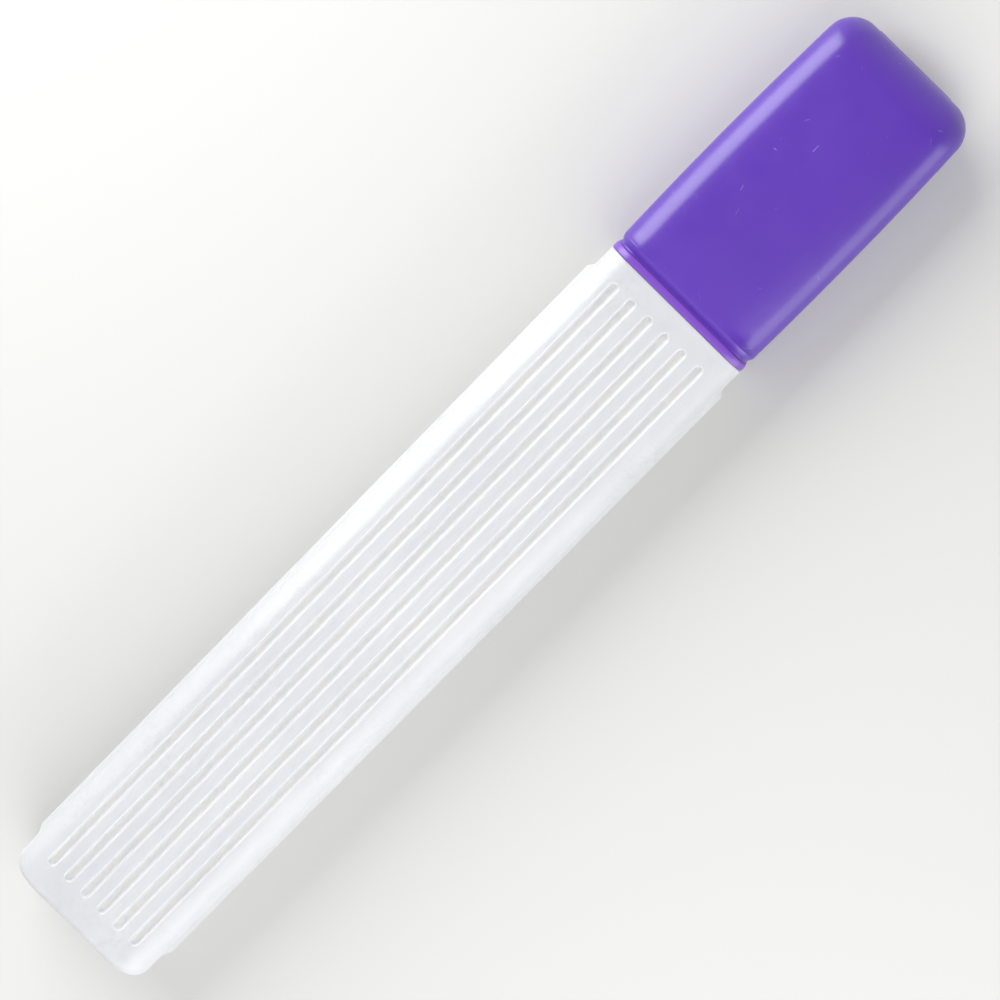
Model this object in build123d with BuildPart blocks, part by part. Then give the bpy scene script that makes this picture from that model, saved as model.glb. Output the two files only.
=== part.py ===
from build123d import *
from math import radians, sin, sqrt
import os

# A storage case for straight knitting needles: a long, flat, grooved tube of milky polyethylene and the
# coloured cap that pulls off its neck. Both are blow-moulded shells, split by their moulds at mid height.
#
# Frame: +X runs from the closed base to the end of the cap, +Y across the width, +Z up through the
# thickness. The origin is under the middle of the case, on the surface that it lies on. Millimetres.

# Driving dimensions
OVERALL_LENGTH = 381.0
CAP_LENGTH = 104.9
WIDTH = 55.7
THICKNESS = 32.0
WALL = 1.5
EDGE_RADIUS = 7.5  # the four long edges
SHOULDER_RADIUS = 0.4
RIM_GAP = 0.1  # between the body's shoulder and the rim of the closed cap

# Base end: round corners seen from above, a tighter round seen from the side
BASE_CORNER_RADIUS = 6.3
BASE_EDGE_RADIUS = 3.0

# Grooves along both wide faces
GROOVE_COUNT = 6
GROOVE_PITCH = 7.3
GROOVE_WIDTH = 2.85
GROOVE_DEPTH = 0.6
GROOVE_DRAFT = 35.0
GROOVE_TO_BASE = 10.5
GROOVE_TO_RIM = 7.1
GROOVE_SPREAD = 1.4  # how much wider a groove stands on the inside, for each unit of wall

# Keels: the raised bands on the narrow sides, where the two halves of the mould meet
KEEL_HEIGHT = 1.55
KEEL_WIDTH = 11.0
KEEL_DRAFT = 12.0
KEEL_RAMP = 3.2
KEEL_TO_BASE = 10.5
KEEL_TO_RIM = 7.6
KEEL_ROOT = 4.0  # how deep its outline starts inside the wall

# Neck, which the cap slides over, and the snap groove for the cap's inner ring
NECK_LENGTH = 28.0
NECK_WALL = 1.3
NECK_CLEARANCE = 0.25
NECK_LEAD_IN = 0.5
SNAP_GROOVE_DEPTH = 0.35

# Cap: a round bead at the rim, a groove behind it, then a slightly swollen, round-ended form
CAP_WALL = 1.4
BEAD_LENGTH = 2.7
BEAD_RADIUS = 1.1
RING_LENGTH = 2.0
RING_DEPTH = 1.25
CAP_START_WIDTH = 55.8
CAP_SWELL_WIDTH = 56.6
CAP_END_WIDTH = 53.8
CAP_START_THICKNESS = 31.6
CAP_END_THICKNESS = 30.4
CAP_SWELL_AT = 40.0  # from the rim to the widest place
CAP_CORNER_RADIUS = 9.3  # end corners seen from above
CAP_NOSE_RADIUS = 14.5  # end seen from the side
CAP_SHOULDER_RADIUS = 0.8  # where the form rises out of the groove

# Pinch-off: the weld lines that close the bottom of the body and the end of the cap
PINCH_HEIGHT = 0.2
PINCH_WIDTH = 0.9
BODY_PINCH_LENGTH = 38.0
CAP_PINCH_LENGTH = 30.0

# Places along X
BASE_X = -OVERALL_LENGTH / 2
END_X = OVERALL_LENGTH / 2
RIM_X = END_X - CAP_LENGTH
SHOULDER_X = RIM_X - RIM_GAP
RING_X = RIM_X + BEAD_LENGTH
FORM_X = RING_X + RING_LENGTH
MIDDLE_Z = THICKNESS / 2

# Sizes that follow
RING_OUTER_WIDTH = WIDTH - 2 * RING_DEPTH
RING_OUTER_THICKNESS = THICKNESS - 2 * RING_DEPTH
RING_RADIUS = EDGE_RADIUS - RING_DEPTH
NECK_WIDTH = RING_OUTER_WIDTH - 2 * (CAP_WALL + NECK_CLEARANCE)
NECK_THICKNESS = RING_OUTER_THICKNESS - 2 * (CAP_WALL + NECK_CLEARANCE)
NECK_RADIUS = RING_RADIUS - CAP_WALL - NECK_CLEARANCE
GROOVE_LENGTH = RIM_X - BASE_X - GROOVE_TO_BASE - GROOVE_TO_RIM
GROOVE_X = (BASE_X + GROOVE_TO_BASE + RIM_X - GROOVE_TO_RIM) / 2
LEAST_RADIUS_SHARE = 0.44  # of a section's thickness, so that its short sides never vanish
NOSE_ANGLES = (0, 12, 24, 36, 48, 59, 69, 78, 85)
SWELL_STEPS = 8


def across(x):
    """The plane across the case at x, with its origin on the case's middle line."""
    return Plane(origin=(x, 0, MIDDLE_Z), x_dir=(0, 1, 0), z_dir=(1, 0, 0))


def drawn_in(depth, radius):
    """How far a round of this radius stands in from the side, this deep behind the end."""
    if depth >= radius:
        return 0.0
    return radius - sqrt(radius**2 - (radius - depth) ** 2)


def section(width, thickness, radius):
    """A rounded rectangle whose radius gives way where the section is thin."""
    return RectangleRounded(width, thickness, min(radius, LEAST_RADIUS_SHARE * thickness))


def swollen(x, start, swell, end):
    """The cap's width or thickness at x: start at the form's root, swell at its widest, end at its tip."""
    peak = RIM_X + CAP_SWELL_AT
    if x < peak:
        return swell - (swell - start) * ((peak - x) / (peak - FORM_X)) ** 2
    return swell - (swell - end) * ((x - peak) / (END_X - peak)) ** 2


def cut_grooves(inset):
    """Cuts the long grooves into both wide faces of the form that is being built."""
    for direction in (1, -1):
        face = Plane(
            origin=(GROOVE_X, 0, MIDDLE_Z + direction * (THICKNESS / 2 - inset)),
            x_dir=(1, 0, 0),
            z_dir=(0, 0, direction),
        )
        with BuildSketch(face) as slots:
            with GridLocations(0, GROOVE_PITCH, 1, GROOVE_COUNT):
                SlotOverall(GROOVE_LENGTH + GROOVE_SPREAD * inset, GROOVE_WIDTH + GROOVE_SPREAD * inset)
        extrude(slots.sketch, amount=-GROOVE_DEPTH, taper=GROOVE_DRAFT, mode=Mode.SUBTRACT)


def add_keels(inset):
    """Adds the raised band on each narrow side of the form that is being built."""
    foot = WIDTH / 2 - inset
    start = BASE_X + KEEL_TO_BASE + inset
    end = RIM_X - KEEL_TO_RIM - inset
    for side in (1, -1):
        with BuildSketch(Plane.XY.offset(MIDDLE_Z)) as outline:
            Polygon(
                (start, side * (foot - KEEL_ROOT)),
                (start, side * foot),
                (start + KEEL_RAMP, side * (foot + KEEL_HEIGHT)),
                (end - KEEL_RAMP, side * (foot + KEEL_HEIGHT)),
                (end, side * foot),
                (end, side * (foot - KEEL_ROOT)),
                align=None,
            )
        extrude(outline.sketch, amount=KEEL_WIDTH / 2 - inset, both=True, taper=KEEL_DRAFT)


def body_form(inset):
    """The body's round-ended box with its grooves and keels, drawn in evenly by inset."""
    base = BASE_X + PINCH_HEIGHT + inset
    corner = BASE_CORNER_RADIUS - inset
    edge = BASE_EDGE_RADIUS - inset / 2
    width = WIDTH - 2 * inset
    thickness = THICKNESS - 2 * inset
    radius = EDGE_RADIUS - inset
    with BuildPart() as form:
        for angle in reversed(NOSE_ANGLES):
            depth = corner * (1 - sin(radians(angle)))
            with BuildSketch(across(base + depth)):
                section(width - 2 * drawn_in(depth, corner), thickness - 2 * drawn_in(depth, edge), radius)
        loft(ruled=True)
        with BuildSketch(across(base + corner)):
            section(width, thickness, radius)
        extrude(amount=SHOULDER_X - inset - base - corner)
        add_keels(inset)
        cut_grooves(inset)
    return form.part


def cap_form(inset):
    """The cap's swollen, round-nosed form beyond its groove, drawn in evenly by inset."""
    tip = END_X - PINCH_HEIGHT - inset
    nose = CAP_NOSE_RADIUS - inset
    corner = CAP_CORNER_RADIUS - inset
    root = FORM_X + inset
    swell_length = tip - nose - root
    stations = [root + swell_length * step / SWELL_STEPS for step in range(SWELL_STEPS)]
    stations += [tip - nose * (1 - sin(radians(angle))) for angle in NOSE_ANGLES]
    with BuildPart() as form:
        for x in stations:
            width = swollen(x, CAP_START_WIDTH, CAP_SWELL_WIDTH, CAP_END_WIDTH)
            thickness = swollen(x, CAP_START_THICKNESS, THICKNESS, CAP_END_THICKNESS)
            width -= 2 * (inset + drawn_in(tip - x, corner))
            thickness -= 2 * (inset + drawn_in(tip - x, nose))
            with BuildSketch(across(x)):
                section(width, thickness, EDGE_RADIUS - inset)
        loft(ruled=True)
    return form.part


os.makedirs("parts", exist_ok=True)

# Body: a shell of even wall, closed by its pinched base and open at its neck
body_core = body_form(WALL)
with BuildPart() as case_body:
    add(body_form(0))
    fillet(case_body.faces().sort_by(Axis.X)[-1].edges(), radius=SHOULDER_RADIUS)
    with BuildSketch(across(SHOULDER_X)):
        section(NECK_WIDTH, NECK_THICKNESS, NECK_RADIUS)
    extrude(amount=NECK_LENGTH)
    chamfer(case_body.faces().sort_by(Axis.X)[-1].edges(), length=NECK_LEAD_IN)
    with BuildSketch(across(RING_X)):
        section(WIDTH, THICKNESS, EDGE_RADIUS)
        RectangleRounded(
            NECK_WIDTH - 2 * SNAP_GROOVE_DEPTH,
            NECK_THICKNESS - 2 * SNAP_GROOVE_DEPTH,
            NECK_RADIUS - SNAP_GROOVE_DEPTH,
            mode=Mode.SUBTRACT,
        )
    extrude(amount=RING_LENGTH, mode=Mode.SUBTRACT)
    with BuildSketch(across(BASE_X)):
        SlotOverall(BODY_PINCH_LENGTH, PINCH_WIDTH)
    extrude(amount=PINCH_HEIGHT + WALL / 2)
    add(body_core, mode=Mode.SUBTRACT)
    with BuildSketch(across(SHOULDER_X - WALL)):
        section(NECK_WIDTH - 2 * NECK_WALL, NECK_THICKNESS - 2 * NECK_WALL, NECK_RADIUS - NECK_WALL)
    extrude(amount=WALL + NECK_LENGTH, mode=Mode.SUBTRACT)
case_body.part.label = "case_body"
export_step(case_body.part, "parts/case_body.step")

# Cap: a shell whose outer groove stands inside as the ring that snaps onto the neck
cap_core = cap_form(CAP_WALL)
with BuildPart() as cap:
    add(cap_form(0))
    fillet(cap.faces().sort_by(Axis.X)[0].edges(), radius=CAP_SHOULDER_RADIUS)
    with BuildSketch(across(RIM_X)):
        section(WIDTH, THICKNESS, EDGE_RADIUS)
    extrude(amount=BEAD_LENGTH)
    bead_ends = cap.faces().filter_by(Axis.X).sort_by(Axis.X)[0:2]
    fillet(bead_ends.edges(), radius=BEAD_RADIUS)
    with BuildSketch(across(RING_X - BEAD_LENGTH / 2)):
        section(RING_OUTER_WIDTH, RING_OUTER_THICKNESS, RING_RADIUS)
    extrude(amount=BEAD_LENGTH / 2 + RING_LENGTH + CAP_WALL)
    with BuildSketch(across(END_X)):
        SlotOverall(CAP_PINCH_LENGTH, PINCH_WIDTH)
    extrude(amount=-(PINCH_HEIGHT + CAP_WALL / 2))
    add(cap_core, mode=Mode.SUBTRACT)
    with BuildSketch(across(RIM_X)):
        section(
            RING_OUTER_WIDTH - 2 * CAP_WALL,
            RING_OUTER_THICKNESS - 2 * CAP_WALL,
            RING_RADIUS - CAP_WALL,
        )
    extrude(amount=BEAD_LENGTH + RING_LENGTH + CAP_WALL, mode=Mode.SUBTRACT)
    with BuildSketch(across(RIM_X)):
        section(WIDTH - 2 * CAP_WALL, THICKNESS - 2 * CAP_WALL, EDGE_RADIUS - CAP_WALL)
    extrude(amount=BEAD_LENGTH - CAP_WALL, mode=Mode.SUBTRACT)
cap.part.label = "cap"
export_step(cap.part, "parts/cap.step")
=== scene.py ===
from math import cos, pi, radians, sin, sqrt

import bmesh
import bpy
import numpy as np
from mathutils import Matrix, Vector


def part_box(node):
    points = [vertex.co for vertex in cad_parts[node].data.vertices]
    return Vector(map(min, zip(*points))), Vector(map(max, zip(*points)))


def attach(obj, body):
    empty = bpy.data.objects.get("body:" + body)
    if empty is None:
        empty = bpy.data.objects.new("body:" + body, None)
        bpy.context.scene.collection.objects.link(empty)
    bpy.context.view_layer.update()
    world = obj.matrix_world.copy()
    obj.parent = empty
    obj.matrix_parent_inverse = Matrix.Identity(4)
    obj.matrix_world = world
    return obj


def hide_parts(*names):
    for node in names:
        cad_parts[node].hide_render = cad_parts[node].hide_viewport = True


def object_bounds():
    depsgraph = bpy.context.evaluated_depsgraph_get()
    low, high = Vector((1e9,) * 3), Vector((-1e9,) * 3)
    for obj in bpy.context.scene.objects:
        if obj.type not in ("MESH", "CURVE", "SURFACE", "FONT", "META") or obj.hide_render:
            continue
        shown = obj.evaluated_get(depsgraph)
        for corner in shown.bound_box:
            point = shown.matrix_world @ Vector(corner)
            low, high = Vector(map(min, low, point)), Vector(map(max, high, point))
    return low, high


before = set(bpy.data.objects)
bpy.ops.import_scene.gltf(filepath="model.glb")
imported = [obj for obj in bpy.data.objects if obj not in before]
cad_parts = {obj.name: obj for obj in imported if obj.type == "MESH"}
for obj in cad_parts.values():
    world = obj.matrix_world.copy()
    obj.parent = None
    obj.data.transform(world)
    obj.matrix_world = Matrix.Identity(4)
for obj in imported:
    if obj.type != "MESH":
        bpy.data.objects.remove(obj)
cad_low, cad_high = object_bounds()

# A storage case for straight knitting needles: a milky body shell and the purple cap that pulls off its neck.
# Shapes are worked out in millimetres in the CAD frame: +X base to cap, +Y across the width, +Z up.
MM = 0.001


def in_mm(corner):
    return [value / MM for value in corner]


body_low, body_high = (in_mm(corner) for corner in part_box("case_body"))
cap_low, cap_high = (in_mm(corner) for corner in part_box("cap"))

# Places along X
BASE_X = body_low[0]
RIM_X = cap_low[0]
END_X = cap_high[0]
NECK_END_X = body_high[0]
MIDDLE_Z = (body_low[2] + body_high[2]) / 2

# Walls and edges
KEEL_HEIGHT = 1.55
WIDTH = body_high[1] - body_low[1] - 2 * KEEL_HEIGHT
THICKNESS = body_high[2] - body_low[2]
WALL = 1.5
EDGE_RADIUS = 7.5
CORE_HALF_WIDTH = WIDTH / 2 - EDGE_RADIUS
CORE_HALF_THICKNESS = THICKNESS / 2 - EDGE_RADIUS
SHOULDER_X = RIM_X - 0.03
SHOULDER_RADIUS = 0.08
BASE_CORNER_RADIUS = 6.3
BASE_EDGE_RADIUS = 3.0

# Grooves of the wide faces
GROOVE_COUNT = 6
GROOVE_PITCH = 7.3
GROOVE_HALF_WIDTH = 1.45
GROOVE_DEPTH = 0.6
GROOVE_WALL_SLOPE = 1.0
GROOVE_LIP_ROUND = 0.14  # in depth
GROOVE_FLOOR_ROUND = 0.2
GROOVE_INNER_SPREAD = 0.8  # how much wider each half of a groove is on the inside of the wall
LIP_HEIGHT = 0.09  # of the raised lip round a groove
LIP_REACH = 0.18  # from the groove's edge to the lip's crest
GROOVE_START_X = BASE_X + 10.5
GROOVE_END_X = RIM_X - 7.1

# Keels of the narrow sides
KEEL_HALF_WIDTH = 5.5
KEEL_EDGE_BLUR = 0.4
KEEL_SLOPE = 0.21
KEEL_RAMP = 3.2
KEEL_START_X = BASE_X + 10.5
KEEL_END_X = RIM_X - 7.6
PARTING_HEIGHT = 0.12
PARTING_HALF_WIDTH = 0.3

# Pinch-off welds at both ends
PINCH_HEIGHT = 0.2
PINCH_HALF_WIDTH = 0.55
BODY_PINCH_HALF_LENGTH = 19.0
CAP_PINCH_HALF_LENGTH = 15.0

# Tool marks that the mould left across the long edges
TOOL_MARK_PITCH = 0.7
TOOL_MARK_DEPTH = 0.04
WAVE_PERIOD = 0.1 * pi  # of Blender's wave texture at a scale of 1

# Neck
NECK_EDGE = 4.6
NECK_WALL = 1.3
SNAP_DEPTH = 0.35

# Cap: the bead of its rim, the groove behind it, and the swollen form
CAP_WALL = 1.4
BEAD_LENGTH = 2.7
RING_LENGTH = 2.0
RING_DEPTH = 1.25
RING_X = RIM_X + BEAD_LENGTH
FORM_X = RING_X + RING_LENGTH
SLOPE_START_X = RING_X + 0.35  # of the slope that rises out of the groove to the form
SLOPE_END_X = FORM_X + 1.1
CREASE = 0.15
CAP_START = (27.9, 15.8)  # half the width and half the thickness, at the form's root, widest place and tip
CAP_SWELL = (28.3, 16.0)
CAP_END = (26.9, 15.2)
CAP_SWELL_X = RIM_X + 40.0
CAP_CORNER_RADIUS = 9.3
CAP_NOSE_RADIUS = 14.5
CROWN = 0.45
CROWN_POWER = 6

# How finely the shells are sampled: steps between rings on plain walls, at groove ends and at keel ends,
# places across half a groove, and heights up half a narrow side
OUTER_STEPS = (4.5, 0.22, 0.4)
INNER_STEPS = (12.0, 0.7, 1.0)
GROOVE_SAMPLES = (0.45, 0.85, 1.1, 1.25, 1.37, 1.47, 1.55, 1.63, 1.72, 1.82, 1.92, 2.03)
BODY_SIDE_SAMPLES = (0.1, 0.2, 0.32, 0.6, 1.8, 3.4, 4.8, 5.15, 5.35, 5.55, 5.75, 5.95, 6.6)
CAP_SIDE_SAMPLES = (0.1, 0.2, 0.32, 0.6, 1.4, 2.6, 4.2, 6.2)


def drawn_in(depth, radius):
    """How far a round of this radius stands in from the side, this deep behind the end."""
    if depth >= radius:
        return 0.0
    return radius - sqrt(radius**2 - (radius - depth) ** 2)


def smooth(value):
    """Eases from 0 to 1."""
    t = np.clip(value, 0.0, 1.0)
    return t * t * (3 - 2 * t)


def kept_above_zero(value, turn):
    """The value where it is positive, and 0 elsewhere, with a round turn between them."""
    rounded = (np.clip(value, -turn, turn) + turn) ** 2 / (4 * turn)
    return np.where(value > turn, value, rounded)


class Outline:
    """The samples round a section: a place on the flat core and the direction that the wall stands out in."""

    def __init__(self, wide, narrow, arc_steps):
        wide, narrow = np.asarray(wide), np.asarray(narrow)
        arc = (np.arange(1, arc_steps) / arc_steps) * pi / 2
        one = np.ones
        core_y, core_z, out_y, out_z = [], [], [], []

        def add(cy, cz, oy, oz):
            core_y.append(cy)
            core_z.append(cz)
            out_y.append(oy)
            out_z.append(oz)

        n, m, k = len(wide), len(narrow), len(arc)
        add(-wide, one(n), 0 * wide, one(n))
        add(-one(k), one(k), -np.sin(arc), np.cos(arc))
        add(-one(m), -narrow, -one(m), 0 * narrow)
        add(-one(k), -one(k), -np.cos(arc), -np.sin(arc))
        add(wide, -one(n), 0 * wide, -one(n))
        add(one(k), -one(k), np.sin(arc), -np.cos(arc))
        add(one(m), narrow, one(m), 0 * narrow)
        add(one(k), one(k), np.cos(arc), np.sin(arc))
        self.core_y, self.core_z = np.concatenate(core_y), np.concatenate(core_z)
        self.out_y, self.out_z = np.concatenate(out_y), np.concatenate(out_z)

    def ring(self, x, half_width, half_thickness, edge, relief=None):
        """The points of the section at x. relief gives how far the wall stands out at each of them."""
        edge_y, edge_z = min(edge, half_width), min(edge, 0.9 * half_thickness)
        y = self.core_y * (half_width - edge_y) + self.out_y * edge_y
        z = self.core_z * (half_thickness - edge_z) + self.out_z * edge_z
        if relief is not None:
            stand = relief(x, y, z, self.out_y, self.out_z)
            y, z = y + stand * self.out_y, z + stand * self.out_z
        return np.stack([np.full_like(y, x), y, z + MIDDLE_Z], axis=1)


def end_cover(last, half_length, height, direction):
    """Rings that close an end. They shrink from its last ring onto the weld, which stands out by height."""
    seat = last.copy()
    seat[:, 1] = np.clip(last[:, 1], -half_length, half_length)
    seat[:, 2] = MIDDLE_Z
    reach = last - seat
    distance = np.linalg.norm(reach, axis=1, keepdims=True)
    unit = reach / np.maximum(distance, 1e-9)
    shares = [0.85, 0.65, 0.45, 0.3, 0.2]
    limits = [(PINCH_HALF_WIDTH * step, 0.15 * step) for step in (1.0, 0.75, 0.5, 0.25, 0.0)]
    spans = [distance * share for share in shares]
    spans += [np.minimum(limit, distance * share) for limit, share in limits]
    rings = []
    for span in spans:
        ring = seat + unit * span
        ring[:, 0] += direction * height * smooth(1 - span[:, 0] / PINCH_HALF_WIDTH)
        rings.append(ring)
    return rings


def shell(name, rings, body, node, material, recess):
    """A closed, smooth-shaded mesh through the rings, which stands for the CAD node."""
    count = len(rings[0])
    points = np.concatenate(rings) * MM
    near = np.arange(count)
    far = (near + 1) % count
    quads = [
        np.stack([near + start, far + start, far + start + count, near + start + count], axis=1)
        for start in range(0, count * (len(rings) - 1), count)
    ]
    mesh = bpy.data.meshes.new(name)
    mesh.from_pydata(points.tolist(), [], np.concatenate(quads).tolist())
    mesh.attributes.new("recess", "FLOAT", "POINT").data.foreach_set("value", recess(points / MM))
    grid = bmesh.new()
    grid.from_mesh(mesh)
    bmesh.ops.remove_doubles(grid, verts=grid.verts, dist=0.002 * MM)
    bmesh.ops.recalc_face_normals(grid, faces=grid.faces)
    for face in grid.faces:
        face.smooth = True
    grid.to_mesh(mesh)
    grid.free()
    mesh.materials.append(material)
    piece = bpy.data.objects.new(name, mesh)
    bpy.context.scene.collection.objects.link(piece)
    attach(piece, body)
    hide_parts(node)
    return piece


# ---- Reliefs of the walls ----


def from_groove(x, y):
    """How far x and y are from the middle line of the nearest long groove."""
    past_start = GROOVE_START_X + GROOVE_HALF_WIDTH - x
    past_end = np.maximum(np.maximum(past_start, x - GROOVE_END_X + GROOVE_HALF_WIDTH), 0.0)
    last = (GROOVE_COUNT - 1) / 2
    centre = np.clip(np.round(y / GROOVE_PITCH + last), 0, 2 * last) - last
    return np.hypot(past_end, y - centre * GROOVE_PITCH)


def groove_depths(x, y, spread):
    """How deep the long grooves are at x and y. spread widens them on the inside of the wall."""
    inside = GROOVE_HALF_WIDTH + spread - from_groove(x, y)
    wall = kept_above_zero(GROOVE_WALL_SLOPE * inside, GROOVE_LIP_ROUND)
    return GROOVE_DEPTH - kept_above_zero(GROOVE_DEPTH - wall, GROOVE_FLOOR_ROUND)


def groove_lips(x, y):
    """How far the lips stand out that run round every groove."""
    from_crest = np.abs(from_groove(x, y) - GROOVE_HALF_WIDTH - LIP_REACH)
    return LIP_HEIGHT * smooth(1 - from_crest / (2 * LIP_REACH))


def groove_recess(points):
    """How deep in a groove each point lies, from 0 to 1, for the painted light on the groove floors."""
    on_faces = np.abs(points[:, 2] - MIDDLE_Z) > THICKNESS / 2 - 1.3 * GROOVE_DEPTH
    return on_faces * groove_depths(points[:, 0], points[:, 1], 0.0) / GROOVE_DEPTH


def no_recess(points):
    return np.zeros(len(points))


def keel(x, z):
    """How far the keel stands out at x and z."""
    ramp = smooth((x - KEEL_START_X) / KEEL_RAMP) * smooth((KEEL_END_X - x) / KEEL_RAMP)
    crown = KEEL_HEIGHT - KEEL_SLOPE * np.abs(z)
    inside = smooth((KEEL_HALF_WIDTH + KEEL_EDGE_BLUR - np.abs(z)) / (2 * KEEL_EDGE_BLUR))
    return ramp * np.maximum(crown, 0.0) * inside


def parting(z):
    """The fine line that the mould's joint leaves along the narrow sides."""
    return PARTING_HEIGHT * smooth(1 - np.abs(z) / PARTING_HALF_WIDTH)


def unevenness(x, y, z):
    """The slow waviness of a blown wall. It only stands in."""
    along = sin(x / 11.0) + 0.7 * sin(x / 6.1 + 1.3) + 0.5 * sin(x / 23.0 + 0.4)
    across = np.sin(y / 6.7 + z / 9.0 + x / 31.0)
    return 0.035 * (0.25 * along * across + 0.3 * across - 0.85)


def flats(out_y, out_z):
    """Which points are on the wide faces, and which on the narrow sides. The long round edges are neither."""
    return np.abs(out_z) > 0.999, np.abs(out_y) > 0.999


def body_relief(x, y, z, out_y, out_z):
    wide, narrow = flats(out_y, out_z)
    stand = unevenness(x, y, z)
    stand = stand + np.where(wide, groove_lips(x, y) - groove_depths(x, y, 0.0), 0.0)
    fade = smooth((SHOULDER_X - x) / 4.0) * smooth((x - BASE_X) / 5.0)
    return stand + np.where(narrow, keel(x, z) + fade * parting(z), 0.0)


def body_inner_relief(x, y, z, out_y, out_z):
    wide, narrow = flats(out_y, out_z)
    grooves = groove_depths(x, y, GROOVE_INNER_SPREAD)
    return np.where(narrow, keel(x, z), 0.0) - np.where(wide, grooves, 0.0)


def cap_relief(x, y, z, out_y, out_z):
    """The wide faces are crowned: they fall away by CROWN towards the long edges, and lean on into them."""
    narrow = flats(out_y, out_z)[1]
    fade = smooth((x - FORM_X) / 3.0) * smooth((END_X - x) / 8.0)
    beyond = np.maximum(np.abs(y) - CORE_HALF_WIDTH, 0.0)
    lean = CROWN * CROWN_POWER / CORE_HALF_WIDTH
    crown = CROWN * np.minimum(np.abs(y) / CORE_HALF_WIDTH, 1.0) ** CROWN_POWER
    crown = (crown + lean * beyond) * np.abs(out_z)
    return fade * (unevenness(x, y, z) - crown + np.where(narrow, parting(z), 0.0))


# ---- The two shells ----


def steps(start, end, count):
    return [start + (end - start) * i / count for i in range(count + 1)]


def quarter(count):
    """Angles of a quarter turn, in radians."""
    return steps(0.0, pi / 2, count)


def cored(outline, x, edge, relief=None):
    """A section that stands out evenly from the core."""
    return outline.ring(x, CORE_HALF_WIDTH + edge, CORE_HALF_THICKNESS + edge, edge, relief)


def heights(samples):
    """The samples up a narrow side's two halves, as shares of the core's half thickness."""
    places = [-z for z in reversed(samples)] + [0.0] + list(samples)
    return np.array([-CORE_HALF_THICKNESS] + places + [CORE_HALF_THICKNESS]) / CORE_HALF_THICKNESS


def body_end(outline, inset, steps_round, relief):
    """The rings of the rounded base end, from its flat to its straight walls, drawn in evenly by inset."""
    tip = BASE_X + PINCH_HEIGHT + inset
    corner, edge = BASE_CORNER_RADIUS - inset, BASE_EDGE_RADIUS - inset / 2
    rings = []
    for angle in reversed(quarter(steps_round)):
        depth = corner * (1 - sin(angle))
        half_width = WIDTH / 2 - inset - drawn_in(depth, corner)
        half_thickness = THICKNESS / 2 - inset - drawn_in(depth, edge)
        rings.append(outline.ring(tip + depth, half_width, half_thickness, EDGE_RADIUS - inset, relief))
    return rings


def wall_stations(start, end, spacing):
    """Where the walls' rings stand: close together at the ends of the grooves and keels."""
    coarse, fine, medium = spacing
    reach = GROOVE_HALF_WIDTH + 0.6
    places = steps(start, end, max(1, round((end - start) / coarse)))
    for edge, direction in ((GROOVE_START_X, 1), (GROOVE_END_X, -1)):
        places += [edge + direction * d for d in np.arange(-0.4, reach, fine)]
    for edge, direction in ((KEEL_START_X, 1), (KEEL_END_X, -1)):
        places += [edge + direction * d for d in np.arange(-0.4, KEEL_RAMP + 0.6, medium)]
    kept = []
    for place in sorted(places):
        if start <= place <= end and (not kept or place - kept[-1] > 0.6 * fine):
            kept.append(place)
    return kept


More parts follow.
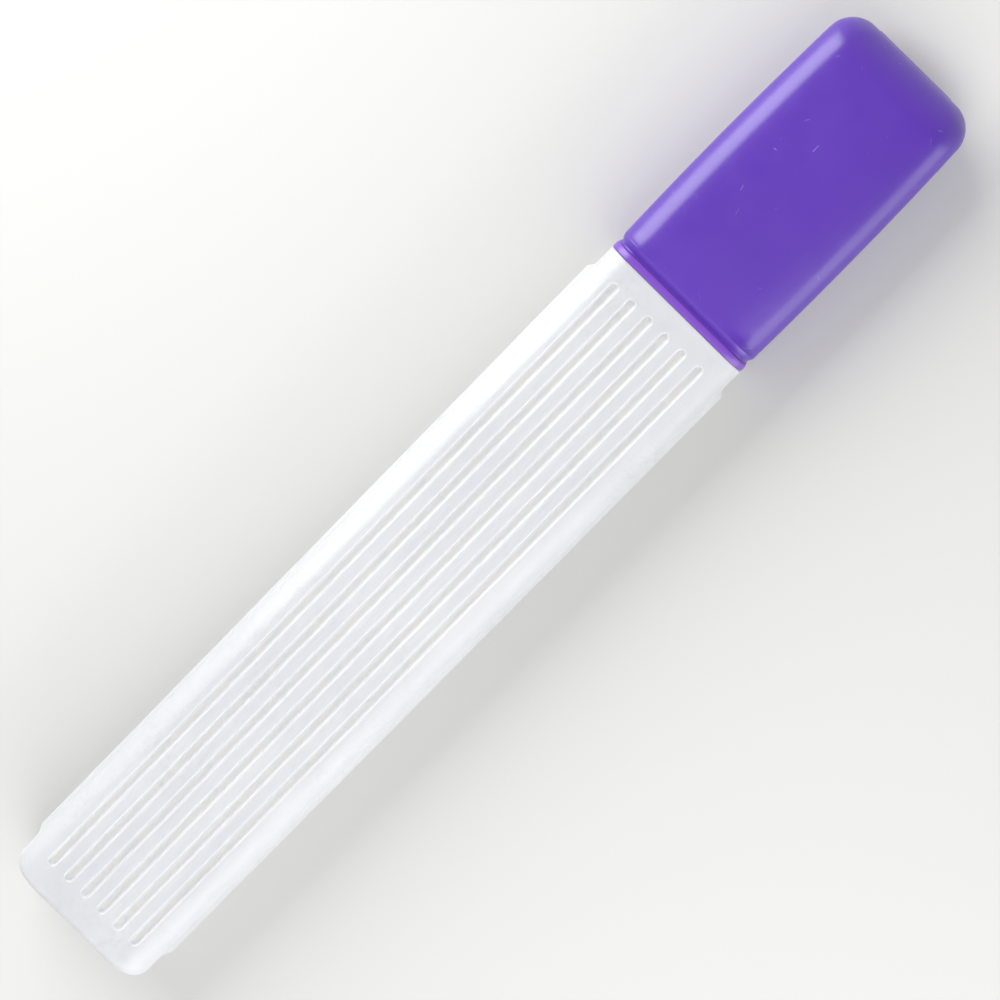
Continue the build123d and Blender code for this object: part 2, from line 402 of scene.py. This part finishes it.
def make_body(material):
    wide = []
    for number in range(GROOVE_COUNT):
        centre = (number - (GROOVE_COUNT - 1) / 2) * GROOVE_PITCH
        wide += [centre - d for d in GROOVE_SAMPLES] + [centre] + [centre + d for d in GROOVE_SAMPLES]
        wide.append(centre + GROOVE_PITCH / 2)
    wide = sorted(y for y in wide if abs(y) < CORE_HALF_WIDTH)
    wide = [-CORE_HALF_WIDTH] + wide + [CORE_HALF_WIDTH]
    outline = Outline(np.array(wide) / CORE_HALF_WIDTH, heights(BODY_SIDE_SAMPLES), 14)

    # outside, from the weld of the base to the shoulder
    base = body_end(outline, 0.0, 12, body_relief)
    rings = end_cover(base[0], BODY_PINCH_HALF_LENGTH, PINCH_HEIGHT, -1)[::-1] + base
    wall_start = BASE_X + PINCH_HEIGHT + BASE_CORNER_RADIUS
    for x in wall_stations(wall_start + 0.6, SHOULDER_X - SHOULDER_RADIUS - 0.4, OUTER_STEPS):
        rings.append(cored(outline, x, EDGE_RADIUS, body_relief))
    for angle in quarter(6):
        x = SHOULDER_X - SHOULDER_RADIUS * (1 - sin(angle))
        rings.append(cored(outline, x, EDGE_RADIUS - SHOULDER_RADIUS * (1 - cos(angle))))

    # the neck, its snap groove and its trimmed mouth
    root = 0.4
    for angle in quarter(4):
        edge = NECK_EDGE + root * (1 - sin(angle))
        rings.append(cored(outline, SHOULDER_X + root * (1 - cos(angle)), edge))
    groove_profile = ((0.0, 0.0), (0.3, 0.2), (0.5, 0.8), (0.8, 1.0))
    for x, share in groove_profile:
        rings.append(cored(outline, RING_X + x, NECK_EDGE - SNAP_DEPTH * share))
    for x, share in reversed(groove_profile):
        rings.append(cored(outline, FORM_X - x, NECK_EDGE - SNAP_DEPTH * share))
    lip = 0.5
    for x in steps(FORM_X + 2.0, NECK_END_X - lip, 5):
        rings.append(cored(outline, x, NECK_EDGE))
    for angle in quarter(4)[1:]:
        x = NECK_END_X - lip * (1 - sin(angle))
        rings.append(cored(outline, x, NECK_EDGE - lip * (1 - cos(angle))))
    bore = NECK_EDGE - NECK_WALL
    burr = 0.15
    for x, edge in ((NECK_END_X, bore + burr), (NECK_END_X - burr, bore), (NECK_END_X - 8.0, bore)):
        rings.append(cored(outline, x, edge))

    # inside, from the shoulder back to the base
    inner = EDGE_RADIUS - WALL
    shoulder_x = SHOULDER_X - WALL
    for x, edge in ((SHOULDER_X, bore), (shoulder_x + 0.2, bore), (shoulder_x, bore + 0.2)):
        rings.append(cored(outline, x, edge))
    for x, edge in ((shoulder_x, inner - 0.5), (shoulder_x - 0.15, inner - 0.15), (shoulder_x - 0.5, inner)):
        rings.append(cored(outline, x, edge))
    for x in reversed(wall_stations(wall_start + 0.5, shoulder_x - 1.0, INNER_STEPS)):
        rings.append(cored(outline, x, inner, body_inner_relief))
    base = body_end(outline, WALL, 6, body_inner_relief)[::-1]
    rings += base + end_cover(base[-1], BODY_PINCH_HALF_LENGTH, 0.0, 1)
    return shell("body_shell", rings, "body", "case_body", material, groove_recess)


def swollen(x, axis):
    """Half the cap's width (axis 0) or thickness (axis 1) at x, before its end is rounded."""
    if x < CAP_SWELL_X:
        share = (CAP_SWELL_X - x) / (CAP_SWELL_X - FORM_X)
        return CAP_SWELL[axis] - (CAP_SWELL[axis] - CAP_START[axis]) * share**2
    share = (x - CAP_SWELL_X) / (END_X - CAP_SWELL_X)
    return CAP_SWELL[axis] - (CAP_SWELL[axis] - CAP_END[axis]) * share**2


def cap_form(outline, inset, stations, relief):
    """Rings of the cap's swollen, round-nosed form, from its root to its tip, drawn in evenly by inset."""
    tip = END_X - PINCH_HEIGHT - inset
    nose, corner = CAP_NOSE_RADIUS - inset, CAP_CORNER_RADIUS - inset
    straight, round_steps = stations
    places = steps(SLOPE_END_X + inset, tip - nose, straight)
    places += [tip - nose * (1 - sin(angle)) for angle in quarter(round_steps)[1:]]
    rings = []
    for x in places:
        half_width = swollen(x, 0) - inset - drawn_in(tip - x, corner)
        half_thickness = swollen(x, 1) - inset - drawn_in(tip - x, nose)
        rings.append(outline.ring(x, half_width, half_thickness, EDGE_RADIUS - inset, relief))
    return rings


def make_cap(material):
    outline = Outline(np.linspace(-1, 1, 33), heights(CAP_SIDE_SAMPLES), 16)
    ring_edge = EDGE_RADIUS - RING_DEPTH

    # outside, from the weld of the end down the slope into the groove
    form = cap_form(outline, 0.0, (30, 28), cap_relief)[::-1]
    rings = end_cover(form[0], CAP_PINCH_HALF_LENGTH, PINCH_HEIGHT, 1)[::-1] + form
    fullness = 0.8
    for share in steps(1.0, 0.0, 14)[1:]:
        drop = RING_DEPTH * (1 - float(smooth(share)) ** fullness)
        half_width, half_thickness = CAP_START[0] - drop, CAP_START[1] - drop
        x = SLOPE_START_X + (SLOPE_END_X - SLOPE_START_X) * share
        rings.append(outline.ring(x, half_width, half_thickness, EDGE_RADIUS - drop))

    # the groove stands steep beside the bead
    for angle in quarter(3):
        drop = CREASE * (1 - cos(angle))
        rings.append(cored(outline, RING_X + CREASE * (1 - sin(angle)), ring_edge + drop))

    # the bead of the rim, squarer on the side that meets the body's shoulder
    rise = RING_DEPTH - CREASE
    for angle in steps(0.0, pi, 16)[1:]:
        squareness = 0.55 if angle < pi / 2 else 0.18
        x = RIM_X + BEAD_LENGTH / 2 * (1 + cos(angle))
        stand = rise * max(sin(angle), 0.0) ** squareness if angle < pi else 0.0
        rings.append(cored(outline, x, ring_edge + CREASE + stand))

    # inside: the trimmed rim, the snap ring and the form
    inner, snap = EDGE_RADIUS - CAP_WALL, ring_edge - CAP_WALL
    ring_start, ring_end = RING_X - CAP_WALL, FORM_X + CAP_WALL
    profile = (
        (RIM_X, inner + 0.1),
        (RIM_X + 0.1, inner),
        (ring_start - 0.5, inner),
        (ring_start - 0.1, inner - 0.2),
        (ring_start + 0.1, inner - 0.7),
        (ring_start + 0.4, snap + 0.1),
        (ring_start + 0.8, snap),
        (ring_end - 0.8, snap),
        (ring_end - 0.4, snap + 0.1),
        (ring_end - 0.1, inner - 0.7),
        (ring_end + 0.1, inner - 0.2),
        (ring_end + 0.4, inner - 0.05),
    )
    rings += [cored(outline, x, edge) for x, edge in profile]
    form = cap_form(outline, CAP_WALL, (10, 14), None)
    rings += form + end_cover(form[-1], CAP_PINCH_HALF_LENGTH, 0.0, 1)
    return shell("cap_shell", rings, "cap", "cap", material, no_recess)


# ---- Materials ----


class Finish:
    """A material in the making: its surface, and short ways to add the nodes that vary it."""

    def __init__(self, name):
        self.material = bpy.data.materials.new(name)
        self.material.use_nodes = True
        self.nodes = self.material.node_tree.nodes
        self.links = self.material.node_tree.links
        self.surface = self.nodes["Principled BSDF"]
        self.place = self.nodes.new("ShaderNodeTexCoord").outputs["Object"]

    def feed(self, socket, value):
        if isinstance(value, bpy.types.NodeSocket):
            self.links.new(value, socket)
        else:
            socket.default_value = value

    def node(self, kind, inputs, **settings):
        """Adds a node. An input is a plain value or the output that feeds it."""
        made = self.nodes.new("ShaderNode" + kind)
        for name, value in settings.items():
            setattr(made, name, value)
        for key, value in inputs.items():
            self.feed(made.inputs[key], value)
        return made

    def noise(self, size, detail=2.0, stretch=(1, 1, 1), warp=0.0):
        """Smooth noise with features about size millimetres apart, from 0 to 1."""
        place = self.node("Mapping", {"Vector": self.place, "Scale": stretch}).outputs[0]
        inputs = {"Vector": place, "Scale": 1 / (size * MM), "Detail": detail, "Distortion": warp}
        return self.node("TexNoise", inputs).outputs[0]

    def spread(self, value, low, high, least=0.0, most=1.0):
        """Takes low..high to least..most, and holds it there."""
        inputs = {"Value": value, "From Min": low, "From Max": high, "To Min": least, "To Max": most}
        return self.node("MapRange", inputs).outputs[0]

    def maths(self, operation, first, second=0.0):
        return self.node("Math", {0: first, 1: second}, operation=operation).outputs[0]

    def both(self, first, second):
        return self.maths("MULTIPLY", first, second)

    def mix(self, share, first, second):
        """A colour between two others."""
        return self.node("Mix", {0: share, 6: first, 7: second}, data_type="RGBA").outputs[2]

    def recess(self):
        """The depth of the recess that a point lies in, from 0 to 1, as shell() stored it."""
        return self.node("Attribute", {}, attribute_name="recess").outputs["Fac"]

    def relief(self, height, depth, under=None):
        """Bump of this depth in millimetres, on top of other bump."""
        inputs = {"Height": height, "Distance": depth * MM, "Strength": 1.0}
        if under is not None:
            inputs["Normal"] = under
        return self.node("Bump", inputs).outputs[0]

    def hairlines(self, size, width):
        """Thin curly lines: the places where warped noise passes through its middle value."""
        level = self.noise(size, detail=0.0, warp=0.4)
        return self.spread(self.maths("ABSOLUTE", self.maths("SUBTRACT", level, 0.5)), 0.0, width, 1.0, 0.0)

    def specks(self, spacing, size, rarity):
        """Tiny round specks, in only some of the cells that are spacing millimetres apart."""
        cells = self.node("TexVoronoi", {"Vector": self.place, "Scale": 1 / (spacing * MM)})
        dots = self.spread(cells.outputs["Distance"], 0.6 * size / spacing, size / spacing, 1.0, 0.0)
        chosen = self.node("SeparateColor", {0: cells.outputs["Color"]}).outputs[0]
        return self.both(dots, self.spread(chosen, rarity, rarity + 0.01))


def srgb(red, green, blue):
    """The linear colour of an sRGB colour from 0 to 1."""
    linear = [c / 12.92 if c <= 0.04045 else ((c + 0.055) / 1.055) ** 2.4 for c in (red, green, blue)]
    return (*linear, 1.0)


def body_plastic():
    """Unpigmented polyethylene: milky, softly glossy, with the mould's tool marks across its long edges."""
    finish = Finish("milky_polyethylene")
    surface = finish.surface

    # colour: faint cloudiness along the wall; the floors of the grooves get painted light, a lighter and
    # warmer colour that lifts the shade falling in them
    cloud = finish.noise(18.0, detail=3.0, stretch=(0.3, 1, 1))
    plain = finish.mix(finish.spread(cloud, 0.35, 0.65), srgb(0.775, 0.778, 0.792), srgb(0.798, 0.800, 0.811))
    # painted light: the groove floors are made lighter and warmer where shade falls in them
    groove_floor = finish.spread(finish.recess(), 0.7, 1.0)
    dust_and_painted_light = finish.both(groove_floor, finish.spread(finish.noise(5.0), 0.3, 0.7, 0.3, 0.8))
    colour = finish.mix(dust_and_painted_light, plain, srgb(0.820, 0.810, 0.785))
    smudges = finish.both(
        finish.spread(finish.noise(34.0, detail=4.0), 0.52, 0.72),
        finish.spread(finish.noise(2.2, detail=3.0), 0.45, 0.75),
    )
    finish.feed(surface.inputs["Base Color"], finish.mix(smudges, colour, srgb(0.748, 0.751, 0.766)))

    # gloss: satin, with duller patches and a few fine scratches
    scratches = finish.both(finish.hairlines(9.0, 0.008), finish.spread(finish.noise(13.0), 0.56, 0.60))
    satin = finish.spread(finish.noise(11.0, detail=3.0), 0.3, 0.7, 0.35, 0.44)
    finish.feed(surface.inputs["Roughness"], finish.maths("MAXIMUM", satin, finish.both(scratches, 0.6)))

    # tool marks: fine cuts across the long edges, stronger in some stretches than others
    closeness = WAVE_PERIOD / (TOOL_MARK_PITCH * MM)
    inputs = {"Vector": finish.place, "Scale": closeness, "Distortion": 2.0, "Detail": 2.0}
    marks = finish.node("TexWave", inputs, wave_type="BANDS", bands_direction="X").outputs[1]
    facing = finish.node("SeparateXYZ", {0: finish.node("NewGeometry", {}).outputs["Normal"]})
    sideways = finish.maths("ABSOLUTE", facing.outputs["Y"])
    upright = finish.maths("ABSOLUTE", facing.outputs["Z"])
    edge = finish.spread(finish.both(sideways, upright), 0.03, 0.25)
    stretches = finish.spread(finish.noise(45.0, detail=3.0), 0.35, 0.62, 0.12, 1.0)
    cut = finish.both(marks, finish.both(edge, stretches))

    grain = finish.relief(finish.noise(0.7, detail=2.0), 0.012)
    ripples = finish.relief(finish.noise(6.0, detail=2.0, stretch=(0.3, 1, 1)), 0.015, grain)
    scored = finish.relief(scratches, -0.01, ripples)
    finish.feed(surface.inputs["Normal"], finish.relief(cut, TOOL_MARK_DEPTH, scored))

    surface.inputs["Subsurface Weight"].default_value = 0.85
    surface.inputs["Subsurface Radius"].default_value = (1.0, 0.97, 0.92)
    surface.inputs["Subsurface Scale"].default_value = 3.0 * MM
    surface.inputs["IOR"].default_value = 1.51
    surface.inputs["Specular IOR Level"].default_value = 0.85
    return finish.material


def cap_plastic():
    """Purple polyethylene: satin, with a few hair scratches and specks of dust."""
    finish = Finish("purple_polyethylene")
    surface = finish.surface

    # colour: even pigment, with a painted glow: paler and pinker towards the rim and most on the bead, as if
    # light shone through the thin wall
    shade = finish.noise(26.0, detail=2.0, stretch=(0.6, 1, 1))
    plain = finish.mix(finish.spread(shade, 0.3, 0.7), srgb(0.300, 0.130, 0.612), srgb(0.317, 0.143, 0.632))
    along = finish.node("SeparateXYZ", {0: finish.place}).outputs["X"]
    # painted glow of light through the wall, fading from the bead over the face
    painted_rim_glow = finish.spread(along, (RIM_X + 24) * MM, (RIM_X + 4) * MM, 0.0, 0.3)
    painted_bead_glow = finish.spread(along, (RING_X + 0.3) * MM, (RING_X - 0.2) * MM)
    colour = finish.mix(painted_rim_glow, plain, srgb(0.345, 0.155, 0.650))
    colour = finish.mix(painted_bead_glow, colour, srgb(0.435, 0.240, 0.690))
    scratches = finish.both(finish.hairlines(11.0, 0.005), finish.spread(finish.noise(5.3), 0.64, 0.66))
    dust_and_painted_light = finish.specks(7.0, 0.16, 0.72)
    pale = finish.both(finish.maths("MAXIMUM", scratches, dust_and_painted_light), 0.28)
    colour = finish.mix(pale, colour, srgb(0.80, 0.74, 0.93))
    dark = finish.specks(31.0, 0.3, 0.80)
    finish.feed(surface.inputs["Base Color"], finish.mix(dark, colour, srgb(0.22, 0.12, 0.42)))

    # gloss: satin, a little sharper than the body's
    satin = finish.spread(finish.noise(9.0, detail=4.0), 0.3, 0.7, 0.31, 0.36)
    finish.feed(surface.inputs["Roughness"], finish.maths("MAXIMUM", satin, finish.both(scratches, 0.6)))

    grain = finish.relief(finish.noise(0.6, detail=2.0), 0.008)
    ripples = finish.relief(finish.noise(7.0, detail=2.0), 0.03, grain)
    finish.feed(surface.inputs["Normal"], finish.relief(scratches, -0.015, ripples))

    surface.inputs["Subsurface Weight"].default_value = 0.15
    surface.inputs["Subsurface Radius"].default_value = (0.9, 0.5, 1.3)
    surface.inputs["Subsurface Scale"].default_value = 0.8 * MM
    surface.inputs["IOR"].default_value = 1.51
    surface.inputs["Specular IOR Level"].default_value = 0.85
    return finish.material


def floor_paint():
    finish = Finish("pale_floor")
    finish.surface.inputs["Base Color"].default_value = srgb(0.805, 0.803, 0.792)
    finish.surface.inputs["Roughness"].default_value = 0.55
    return finish.material


# ---- Floor, light and camera ----


def make_floor():
    half = 3.0
    level = cad_low[2]
    mesh = bpy.data.meshes.new("floor")
    corners = [(-half, -half, level), (half, -half, level), (half, half, level), (-half, half, level)]
    mesh.from_pydata(corners, [], [(0, 1, 2, 3)])
    mesh.materials.append(floor_paint())
    floor = bpy.data.objects.new("floor", mesh)
    bpy.context.scene.collection.objects.link(floor)


def softbox(name, place, size, radiance):
    """A rectangular light that faces the case. place and size are in metres."""
    light = bpy.data.lights.new(name, "AREA")
    light.shape = "RECTANGLE"
    light.size, light.size_y = size
    light.energy = 4 * radiance * size[0] * size[1]
    lamp = bpy.data.objects.new(name, light)
    lamp.location = place
    facing = Vector((place[0], 0.0, 0.0)) - Vector(place)
    lamp.rotation_euler = facing.to_track_quat("-Z", "Y").to_euler()
    lamp.visible_camera = False
    bpy.context.scene.collection.objects.link(lamp)


def make_light():
    """A pale room, brighter at its walls, with a strong softbox on one long side and two on the other."""
    world = bpy.data.worlds.new("studio")
    world.use_nodes = True
    nodes, links = world.node_tree.nodes, world.node_tree.links
    direction = nodes.new("ShaderNodeSeparateXYZ")
    links.new(nodes.new("ShaderNodeTexCoord").outputs["Generated"], direction.inputs[0])
    brightness = nodes.new("ShaderNodeMapRange")
    brightness.inputs["To Min"].default_value = 0.85
    brightness.inputs["To Max"].default_value = 0.30
    links.new(direction.outputs["Z"], brightness.inputs["Value"])
    links.new(brightness.outputs[0], nodes["Background"].inputs["Strength"])
    nodes["Background"].inputs["Color"].default_value = (0.97, 0.98, 1.0, 1.0)
    bpy.context.scene.world = world
    softbox("key", (0.22, 0.66, 0.43), (0.85, 0.82), 3.3)
    softbox("fill", (-0.45, -0.45, 0.65), (1.0, 0.80), 1.5)
    softbox("wall", (-0.45, -0.85, 0.30), (1.8, 0.60), 1.35)


def make_camera():
    """Looks almost straight down, a little from the cap's end, with the case turned in the picture."""
    turn, tilt = radians(45.44), radians(7.88)
    distance = 1.15
    aim = Vector((2.86, -2.60, MIDDLE_Z)) * MM
    towards = Vector((sin(tilt), 0, cos(tilt)))
    along = Vector((cos(tilt), 0, -sin(tilt)))
    across = Vector((0, 1, 0))
    right = cos(turn) * along - sin(turn) * across
    up = sin(turn) * along + cos(turn) * across
    turned = Matrix((right, up, towards)).transposed().to_4x4()
    data = bpy.data.cameras.new("camera")
    data.lens = 131.03
    data.sensor_width = 36.0
    camera = bpy.data.objects.new("camera", data)
    camera.matrix_world = Matrix.Translation(aim + distance * towards) @ turned
    bpy.context.scene.collection.objects.link(camera)
    bpy.context.scene.camera = camera


bpy.context.scene.view_settings.view_transform = "Standard"
make_body(body_plastic())
make_cap(cap_plastic())
make_floor()
make_light()
make_camera()
